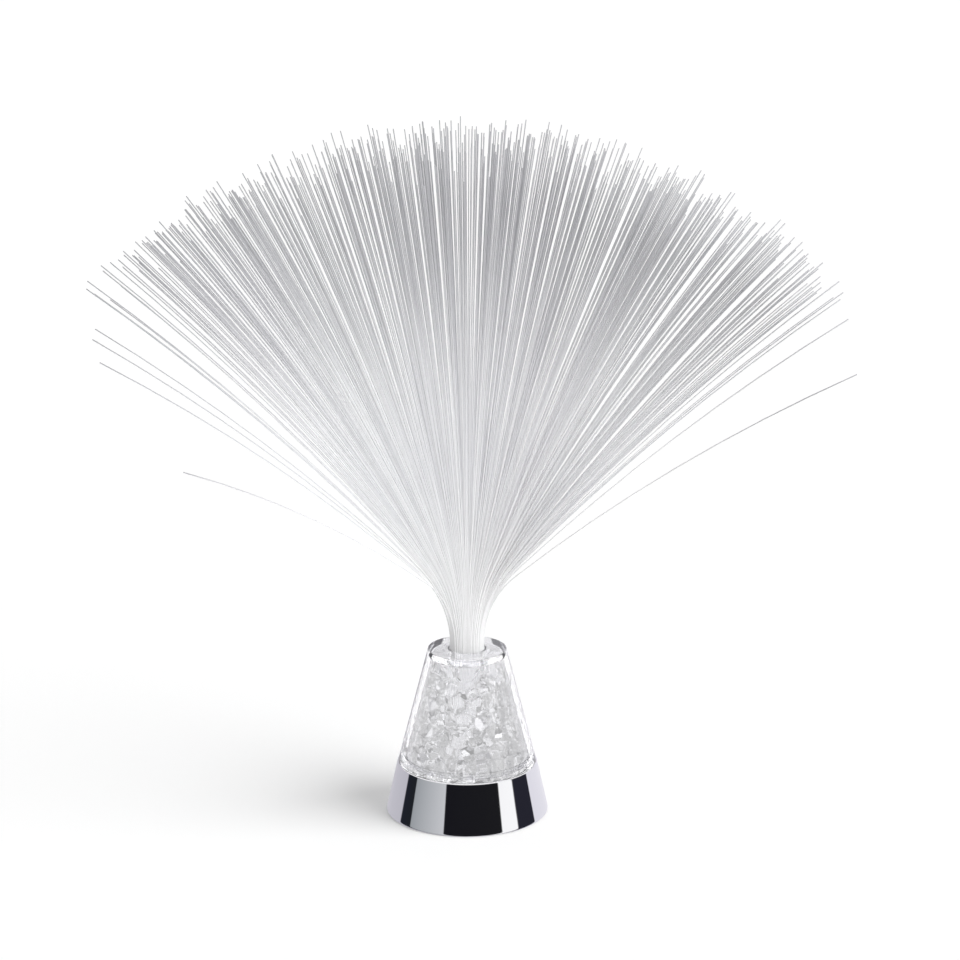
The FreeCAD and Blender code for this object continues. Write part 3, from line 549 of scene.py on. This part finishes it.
@dataclass
class Cone:
    """Clear cone with a closed top and a stepped foot, the chips in it and the tube round the bundle."""

    foot_radius: float = 32.2 * MM
    top_radius: float = 18.2 * MM
    foot_z: float = 24.3 * MM
    height: float = 55.0 * MM
    wall: float = 2.8 * MM
    top: float = 4.0 * MM
    step: float = 1.0 * MM
    step_height: float = 1.6 * MM
    edge: float = 0.35 * MM
    bore: float = 8.25 * MM
    sleeve_radius: float = 9.05 * MM
    fit: float = 0.15 * MM
    tube_z: float = 20.5 * MM
    deck_z: float = 22.1 * MM
    flange: float = 0.8 * MM
    flange_radius: float = 10.0 * MM
    lift: float = 0.05 * MM
    fine: float = 0.12 * MM
    tube_fine: float = 0.1 * MM
    sides: int = 240
    tube_sides: int = 96
    # Painted light: the chips get an emission that brightens them.
    chips: ClearPlastic = ClearPlastic(
        "crystal_plastic", (0.99, 0.99, 0.99), (0.0, 0.006), 1.45, glow=0.06, coat=0.0
    )

    def outline(self, hole: float) -> np.ndarray:
        """Section of the cone.

        Args:
            hole: Radius of the hole in the top.

        Returns:
            Points of the closed outline.
        """
        low, high = self.foot_z + self.lift, self.foot_z + self.height
        ceiling = high - self.top
        slope = (self.foot_radius - self.top_radius) / self.height
        inner_foot = self.foot_radius - self.wall
        inner_top = inner_foot - slope * (self.height - self.top)
        fine = self.fine
        first, second = low + self.step_height, low + 2 * self.step_height
        return rounded_profile([
            (inner_foot - 2 * self.step, low, fine),
            (self.foot_radius, low, fine),
            (self.top_radius, high, self.edge),
            (hole, high, fine),
            (hole, ceiling, fine),
            (inner_top, ceiling, 2 * self.edge),
            (inner_foot - slope * 2 * self.step_height, second, fine),
            (inner_foot - self.step, second, fine),
            (inner_foot - self.step, first, fine),
            (inner_foot - 2 * self.step, first, fine),
        ])

    def build(self) -> list[bpy.types.Object]:
        """Makes the cone and dresses the chips and the tube."""
        clear = ClearPlastic().make()
        cone = revolved("clear_shell", self.outline(self.sleeve_radius + self.fit), self.sides)
        tube = revolved("clear_tube", self.tube_outline(), self.tube_sides)
        for piece, node in ((cone, "clear_cone"), (tube, "fibre_sleeve")):
            dress(piece, clear)
            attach(piece, Body.LAMP.value)
            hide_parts(node)
        dress_nodes(("crystals",), self.chips.make())
        return [cone, tube]

    def tube_outline(self) -> np.ndarray:
        """Section of the tube round the bundle, with its flange under the deck."""
        low, deck, high = self.tube_z, self.deck_z, self.foot_z + self.height
        fine = self.tube_fine
        return rounded_profile([
            (self.bore, low, fine),
            (self.sleeve_radius, low, fine),
            (self.sleeve_radius, deck - self.flange, fine),
            (self.flange_radius, deck - self.flange, fine),
            (self.flange_radius, deck, fine),
            (self.sleeve_radius, deck, fine),
            (self.sleeve_radius, high, fine),
            (self.bore, high, fine),
        ])


@dataclass
class Spray:
    """Light fibres: a packed bundle that stands in the cone and fans out above it."""

    diameter: float = 0.5
    pitch: float = 0.51
    bundle_radius: float = 8.1
    foot_z: float = 20.5
    cone_top: float = 79.3
    collar: float = 2.0
    length: float = 238.0
    bend_length: float = 40.0
    bend_share: float = 0.8
    tilt: float = 54.0
    least_tilt: float = 0.8
    tilt_power: float = 1.15
    depth: float = 0.26
    ragged: float = 0.03
    tilt_scatter: float = 0.7
    lock_waves: int = 12
    lock_first: float = 1.8
    lock_growth: float = 1.2
    lock_tilt: float = 0.42
    lock_turn: float = 1.7
    sides: int = 6
    bend_steps: int = 9
    droop_steps: int = 8
    glow_fade: float = 90.0
    scatter_step: float = 12.9898
    scatter_channel: float = 78.233
    scatter_size: float = 43758.5453
    closest: float = 0.001
    strays: tuple[tuple[float, float, float], ...] = (
        (-24.0, 61.0, 240.0),
        (-6.0, 56.0, 236.0),
        (6.0, 55.0, 234.0),
        (174.0, 55.0, 230.0),
        (182.0, 57.0, 228.0),
        (190.0, 57.0, 230.0),
        (204.0, 58.0, 234.0),
        (228.0, 67.0, 218.0),
    )

    def feet(self) -> tuple[np.ndarray, np.ndarray]:
        """Places of the fibres in the bundle, in rows like stacked pipes, kept inside a circle."""
        reach = self.bundle_radius - self.diameter / 2
        rise = self.pitch * math.sqrt(3) / 2
        rows = math.ceil(reach / rise)
        columns = math.ceil(reach / self.pitch) + 1
        row, column = np.meshgrid(
            np.arange(-rows, rows + 1), np.arange(-columns, columns + 1), indexing="ij"
        )
        x = ((column + row % 2 / 2) * self.pitch).ravel()
        y = (row * rise).ravel()
        kept = np.hypot(x, y) <= reach
        return x[kept], y[kept]

    def scatter(self, number: np.ndarray, channel: int) -> np.ndarray:
        """Repeatable scattered values from -1 to 1: the fraction of a large sine."""
        phase = self.scatter_step * (number + 1) + self.scatter_channel * channel
        value = np.sin(phase) * self.scatter_size
        return 2 * (value - np.floor(value)) - 1

    def aims(self, x: np.ndarray, y: np.ndarray) -> tuple[np.ndarray, np.ndarray, np.ndarray]:
        """Final lean of each fibre: it grows with a power of the distance, and waves draw neighbours together.

        Args:
            x: Places across the bundle.
            y: Places to the back of the bundle.

        Returns:
            Tilts and azimuths in radians, and lengths.
        """
        number = np.arange(len(x))
        reach = self.bundle_radius - self.diameter / 2
        radius = np.maximum(np.hypot(x, y), self.closest)
        size = self.tilt * (radius / reach) ** self.tilt_power / radius
        side = size * x + self.tilt_scatter * self.scatter(number, 1)
        back = (size * y + 2 * self.tilt_scatter * self.scatter(number, 2)) * self.depth
        for wave in range(self.lock_waves):
            length = self.lock_first * self.lock_growth ** wave
            along = GOLDEN_ANGLE * wave
            push = self.lock_turn * along
            across = x * math.cos(along) + y * math.sin(along)
            phase = 2 * math.pi / length * across + along * wave
            lock = self.lock_tilt * math.sqrt(length) * np.sin(phase)
            side = side + lock * math.cos(push)
            back = back + lock * math.sin(push) * self.depth
        length = self.length * (1 + self.ragged * self.scatter(number, 3))
        free = np.ones(len(x), bool)
        for azimuth, tilt, reach_length in self.strays:
            way = math.cos(math.radians(azimuth)), math.sin(math.radians(azimuth))
            outermost = int(np.argmax(np.where(free, x * way[0] + y * way[1], -np.inf)))
            free[outermost] = False
            side[outermost], back[outermost], length[outermost] = tilt * way[0], tilt * way[1], reach_length
        tilt = np.maximum(np.hypot(side, back), self.least_tilt)
        return np.radians(tilt), np.arctan2(back, side), length

    def paths(self) -> tuple[np.ndarray, np.ndarray, np.ndarray]:
        """Middle line of each fibre: upright, then an arc of quick bend, then one of slow droop.

        On an arc the tilt grows evenly with the way gone, so the line is the integral of its direction.

        Returns:
            Points, directions and height gone above the cone's top, for each fibre and step.
        """
        x, y = self.feet()
        tilt, azimuth, length = self.aims(x, y)
        bend = np.linspace(0, 1, self.bend_steps + 1)[1:]
        droop = np.linspace(0, 1, self.droop_steps + 1)[1:]
        still = np.zeros((len(x), 1))
        knee = self.cone_top + self.collar
        stages = (
            (0 * tilt, self.bend_share * tilt, np.full(len(x), self.bend_length), bend),
            (self.bend_share * tilt, tilt, length - self.collar - self.bend_length, droop),
        )
        out, rise, lean, gone = [still], [still], [still], [still + self.collar]
        for first, last, run, parts in stages:
            angle = first[:, None] + (last - first)[:, None] * parts
            curve = (run / (last - first))[:, None]
            out.append(out[-1][:, -1:] + curve * (np.cos(first)[:, None] - np.cos(angle)))
            rise.append(rise[-1][:, -1:] + curve * (np.sin(angle) - np.sin(first)[:, None]))
            lean.append(angle)
            gone.append(gone[-1][:, -1:] + run[:, None] * parts)
        out, rise = np.concatenate([still, *out], axis=1), np.concatenate([still, *rise], axis=1)
        lean = np.concatenate([still, *lean], axis=1)
        gone = np.concatenate([still + self.foot_z - self.cone_top, *gone], axis=1)
        height = knee + rise
        height[:, 0] = self.foot_z
        side = x[:, None] + out * np.cos(azimuth)[:, None]
        back = y[:, None] + out * np.sin(azimuth)[:, None]
        points = np.stack([side, back, height], axis=-1)
        away = np.stack([np.cos(azimuth), np.sin(azimuth)], axis=-1)[:, None]
        way = np.concatenate([np.sin(lean)[..., None] * away, np.cos(lean)[..., None]], axis=-1)
        return points, way, gone

    def build(self) -> list[bpy.types.Object]:
        """Makes all fibres as one piece: a small polygon carried along each middle line."""
        points, way, gone = self.paths()
        count, steps = points.shape[:2]
        azimuth = np.arctan2(way[:, -1, 1], way[:, -1, 0])
        across = np.stack([-np.sin(azimuth), np.cos(azimuth), 0 * azimuth], axis=-1)[:, None, None]
        other = np.cross(across, way[:, :, None])
        angle = (np.arange(self.sides) / self.sides * 2 * math.pi)[:, None]
        ring = (np.cos(angle) * other + np.sin(angle) * across) * self.diameter / 2
        corners = (points[:, :, None] + ring).reshape(-1, 3) * MM
        fibre, row, column = np.meshgrid(
            np.arange(count), np.arange(steps - 1), np.arange(self.sides), indexing="ij"
        )
        first = (fibre * steps + row) * self.sides
        beside = (column + 1) % self.sides
        above = first + self.sides
        walls = np.stack(
            [first + column, first + beside, above + beside, above + column], axis=-1
        )
        start = np.arange(count)[:, None] * steps * self.sides
        ends = np.concatenate([
            start + np.arange(self.sides)[::-1],
            start + (steps - 1) * self.sides + np.arange(self.sides),
        ])
        piece = mesh_object("light_fibres", corners, [walls.reshape(-1, 4), ends])
        tone = self.scatter(np.arange(count), 4) / 2 + 0.5
        glow = np.exp(-np.maximum(gone, 0) / self.glow_fade)
        values = {
            "fibre_tone": np.repeat(tone, steps * self.sides),
            "fibre_way": np.repeat(np.clip(gone / self.length, 0, 1).ravel(), self.sides),
            "fibre_glow": np.repeat(glow.ravel(), self.sides),
        }
        for name, numbers in values.items():
            layer = piece.data.attributes.new(name, "FLOAT", "POINT")
            layer.data.foreach_set("value", numbers.astype(np.float32))
        dress(piece, FibrePlastic().make())
        piece.visible_shadow = False
        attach(piece, Body.LAMP.value)
        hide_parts("fibres")
        return [piece]


@dataclass
class Studio:
    """White sweep, soft light and the camera."""

    elevation: float = 16.5
    distance: float = 1.8
    frame_width: float = 439.4 * MM
    middle: tuple[float, float] = (5.95 * MM, 160.4 * MM)
    sensor: float = 36.0
    fill: float = 0.55
    ceiling_sine: float = 0.42
    panel_edge: float = 0.4
    key_angle: float = 69.0
    key_rise: float = 34.0
    key_spread: float = 58.0
    key_strength: float = 2.75
    floor_lift: float = 0.06
    floor_half: float = 6.0
    floor_waves: float = 3.0
    floor_roughness: float = 0.9
    floor_tints: tuple[Colour, Colour] = ((0.93, 0.93, 0.93), (0.92, 0.92, 0.92))
    ceiling: Colour = (0.95, 0.95, 0.95)
    clear_depth: float = 0.5
    camera_reach: float = 50.0
    panels: tuple[tuple[float, Colour, Colour], ...] = (
        (-180.0, (0.60, 0.59, 0.64), (0.52, 0.51, 0.56)),
        (-107.2, (0.014, 0.016, 0.024), (0.014, 0.016, 0.02)),
        (-86.5, (0.33, 0.35, 0.37), (0.58, 0.59, 0.61)),
        (-32.9, (0.009, 0.009, 0.012), (0.012, 0.012, 0.014)),
        (49.6, (1.0, 1.0, 1.0), (1.03, 1.03, 1.03)),
        (75.6, (0.02, 0.02, 0.03), (0.02, 0.02, 0.03)),
        (109.0, (0.78, 0.77, 0.83), (0.85, 0.84, 0.90)),
    )
    soft_panels: tuple[tuple[float, Colour, Colour], ...] = (
        (-180.0, (0.95, 0.95, 0.95), (0.85, 0.85, 0.86)),
        (-150.0, (0.5, 0.5, 0.51), (0.5, 0.5, 0.51)),
        (-135.0, (0.9, 0.9, 0.9), (0.85, 0.85, 0.86)),
        (-106.0, (0.35, 0.35, 0.36), (0.35, 0.35, 0.36)),
        (-83.5, (0.85, 0.85, 0.85), (0.9, 0.9, 0.9)),
        (-58.0, (0.5, 0.5, 0.51), (0.5, 0.5, 0.51)),
        (-46.0, (0.95, 0.95, 0.95), (0.9, 0.9, 0.9)),
        (-22.0, (0.4, 0.4, 0.41), (0.4, 0.4, 0.41)),
        (2.0, (0.8, 0.8, 0.8), (0.8, 0.8, 0.8)),
        (20.0, (0.4, 0.4, 0.41), (0.4, 0.4, 0.41)),
        (45.7, (1.2, 1.2, 1.2), (1.2, 1.2, 1.2)),
        (69.4, (0.35, 0.35, 0.36), (0.38, 0.38, 0.39)),
        (97.3, (0.85, 0.85, 0.86), (0.9, 0.9, 0.9)),
        (135.0, (0.5, 0.5, 0.51), (0.5, 0.5, 0.51)),
        (150.0, (0.95, 0.95, 0.95), (0.95, 0.95, 0.95)),
    )

    def build(self) -> None:
        """Sets up everything round the lamp."""
        self.make_floor()
        self.make_world()
        self.make_lights()
        self.make_camera()
        bpy.context.scene.view_settings.view_transform = "Standard"

    def make_floor(self) -> None:
        """White floor that keeps the lamp's shadow and is a little brighter to the camera."""
        half = self.floor_half
        points = np.array([[-half, -half, 0], [half, -half, 0], [half, half, 0], [-half, half, 0]])
        floor = mesh_object("floor", points, [np.array([[0, 1, 2, 3]])], smooth=False)
        shader = Shader("floor_white")
        shader.set(Roughness=self.floor_roughness, Specular_IOR_Level=0.0)
        shader.set(Emission_Color=(*WHITE, 1.0))
        tint = shader.blend(shader.noise(self.floor_waves), *self.floor_tints)
        shader.link(tint, shader.surface.inputs["Base Color"])
        path = shader.tree.nodes.new("ShaderNodeLightPath")
        lift = shader.ranged(path.outputs["Is Camera Ray"], 0.0, self.floor_lift)
        shader.link(lift, shader.surface.inputs["Emission Strength"])
        dress(floor, shader.material)
        floor.visible_glossy = False

    def make_world(self) -> None:
        """White surroundings. Bare metal mirrors the studio's panels, and clear pieces see softer ones."""
        world = bpy.data.worlds.new("studio")
        bpy.context.scene.world = world
        world.use_nodes = True
        tree = world.node_tree
        tree.nodes.clear()
        path = tree.nodes.new("ShaderNodeLightPath")
        place = tree.nodes.new("ShaderNodeTexCoord")
        split = tree.nodes.new("ShaderNodeSeparateXYZ")
        tree.links.new(place.outputs["Generated"], split.inputs["Vector"])
        share = self.turn_share(tree, split)
        lit = self.background(tree, WHITE, self.fill)
        seen = self.background(tree, WHITE, 1.0)
        mirrored = self.background(tree, None, 1.0, self.ramp(tree, share, self.panels))
        ceiling = self.background(tree, self.ceiling, 1.0)
        soft = self.background(tree, None, 1.0, self.ramp(tree, share, self.soft_panels))
        high = self.compare(tree, split.outputs["Z"], self.ceiling_sine)
        deep = self.compare(tree, path.outputs["Transmission Depth"], self.clear_depth)
        metal = self.choose(tree, high, mirrored, ceiling)
        glossy = self.choose(tree, deep, metal, soft)
        shaded = self.choose(tree, path.outputs["Is Glossy Ray"], lit, glossy)
        through = self.choose(tree, path.outputs["Is Transmission Ray"], shaded, soft)
        final = self.choose(tree, path.outputs["Is Camera Ray"], through, seen)
        out = tree.nodes.new("ShaderNodeOutputWorld")
        tree.links.new(final, out.inputs["Surface"])

    def turn_share(self, tree: bpy.types.NodeTree, split: bpy.types.Node) -> bpy.types.NodeSocket:
        """Share of a full turn from the back of the lamp, by the left, the front and the right.

        Args:
            tree: The world's nodes.
            split: Node that gives the direction's parts.

        Returns:
            Socket that runs from 0 to 1.
        """
        back = tree.nodes.new("ShaderNodeMath")
        back.operation = "MULTIPLY"
        back.inputs[1].default_value = -1.0
        angle = tree.nodes.new("ShaderNodeMath")
        angle.operation = "ARCTAN2"
        share = tree.nodes.new("ShaderNodeMapRange")
        share.inputs["From Min"].default_value = -math.pi
        share.inputs["From Max"].default_value = math.pi
        tree.links.new(split.outputs["Y"], back.inputs[0])
        tree.links.new(split.outputs["X"], angle.inputs[0])
        tree.links.new(back.outputs["Value"], angle.inputs[1])
        tree.links.new(angle.outputs["Value"], share.inputs["Value"])
        return share.outputs["Result"]

    def background(
        self,
        tree: bpy.types.NodeTree,
        colour: Colour | None,
        strength: float,
        link: bpy.types.NodeSocket | None = None,
    ) -> bpy.types.NodeSocket:
        """One background shader.

        Args:
            tree: The world's nodes.
            colour: Its fixed colour, if it has one.
            strength: Its strength.
            link: Colour socket in place of the fixed colour.

        Returns:
            The shader's socket.
        """
        node = tree.nodes.new("ShaderNodeBackground")
        node.inputs["Strength"].default_value = strength
        if link is None:
            node.inputs["Color"].default_value = (*colour, 1.0)
        else:
            tree.links.new(link, node.inputs["Color"])
        return node.outputs["Background"]

    def compare(
        self, tree: bpy.types.NodeTree, value: bpy.types.NodeSocket, level: float
    ) -> bpy.types.NodeSocket:
        """1 where a value is above a level, else 0."""
        node = tree.nodes.new("ShaderNodeMath")
        node.operation = "GREATER_THAN"
        node.inputs[1].default_value = level
        tree.links.new(value, node.inputs[0])
        return node.outputs["Value"]

    def choose(
        self,
        tree: bpy.types.NodeTree,
        factor: bpy.types.NodeSocket,
        first: bpy.types.NodeSocket,
        second: bpy.types.NodeSocket,
    ) -> bpy.types.NodeSocket:
        """First shader where the factor is 0, second where it is 1."""
        node = tree.nodes.new("ShaderNodeMixShader")
        tree.links.new(factor, node.inputs["Fac"])
        tree.links.new(first, node.inputs[1])
        tree.links.new(second, node.inputs[2])
        return node.outputs["Shader"]

    def ramp(
        self,
        tree: bpy.types.NodeTree,
        share: bpy.types.NodeSocket,
        panels: tuple[tuple[float, Colour, Colour], ...],
    ) -> bpy.types.NodeSocket:
        """Ring of panels round the lamp, with sharp edges between them.

        Args:
            tree: The world's nodes.
            share: Share of a full turn from the back.
            panels: Start angle from the front, colour at the start and colour at the end, in order.

        Returns:
            The ring's colour.
        """
        node = tree.nodes.new("ShaderNodeValToRGB")
        elements = node.color_ramp.elements
        elements.remove(elements[-1])
        ends = [panel[0] for panel in panels[1:]] + [180.0]
        stops = []
        for (start, first, last), end in zip(panels, ends):
            stops += [(start + self.panel_edge, first), (end - self.panel_edge, last)]
        for k, (angle, colour) in enumerate(stops):
            position = (angle + 180) / 360
            if k == 0:
                elements[0].position = position
            element = elements[0] if k == 0 else elements.new(position)
            element.color = (*colour, 1.0)
        tree.links.new(share, node.inputs["Fac"])
        return node.outputs["Color"]

    def make_lights(self) -> None:
        """One wide soft lamp from the front right, far enough to light the whole floor evenly."""
        data = bpy.data.lights.new("softbox", "SUN")
        data.angle = math.radians(self.key_spread)
        data.energy = self.key_strength
        lamp = bpy.data.objects.new("softbox", data)
        lamp.visible_glossy = False
        lamp.visible_transmission = False
        bpy.context.scene.collection.objects.link(lamp)
        turn, rise = math.radians(self.key_angle), math.radians(self.key_rise)
        way = np.array([
            math.sin(turn) * math.cos(rise), -math.cos(turn) * math.cos(rise), math.sin(rise)
        ])
        self.aim(lamp, way, np.zeros(3))

    def make_camera(self) -> None:
        """Camera at the photograph's angle, square to the lamp's axis from the front."""
        data = bpy.data.cameras.new("camera")
        data.sensor_width = self.sensor
        data.lens = self.sensor * self.distance / self.frame_width
        data.clip_end = self.camera_reach
        camera = bpy.data.objects.new("camera", data)
        bpy.context.scene.collection.objects.link(camera)
        rise = math.radians(self.elevation)
        target = np.array([self.middle[0], 0.0, self.middle[1]])
        place = target + self.distance * np.array([0.0, -math.cos(rise), math.sin(rise)])
        self.aim(camera, place, target)
        bpy.context.scene.camera = camera

    def aim(self, thing: bpy.types.Object, place: np.ndarray, target: np.ndarray) -> None:
        """Places a lamp or the camera and turns it to a target.

        Args:
            thing: Object to place.
            place: Its place in metres.
            target: Point that it looks at.
        """
        thing.location = place
        thing.rotation_euler = Vector(target - place).to_track_quat("-Z", "Y").to_euler()


def main() -> None:
    """Builds the lamp's sub-assemblies and the studio."""
    logging.basicConfig(level=logging.INFO, format="%(message)s")
    for part in (Base(), Cone(), Spray()):
        for piece in part.build():
            LOG.info("%s: %d faces", piece.name, len(piece.data.polygons))
    Studio().build()


if __name__ == "__main__":
    main()
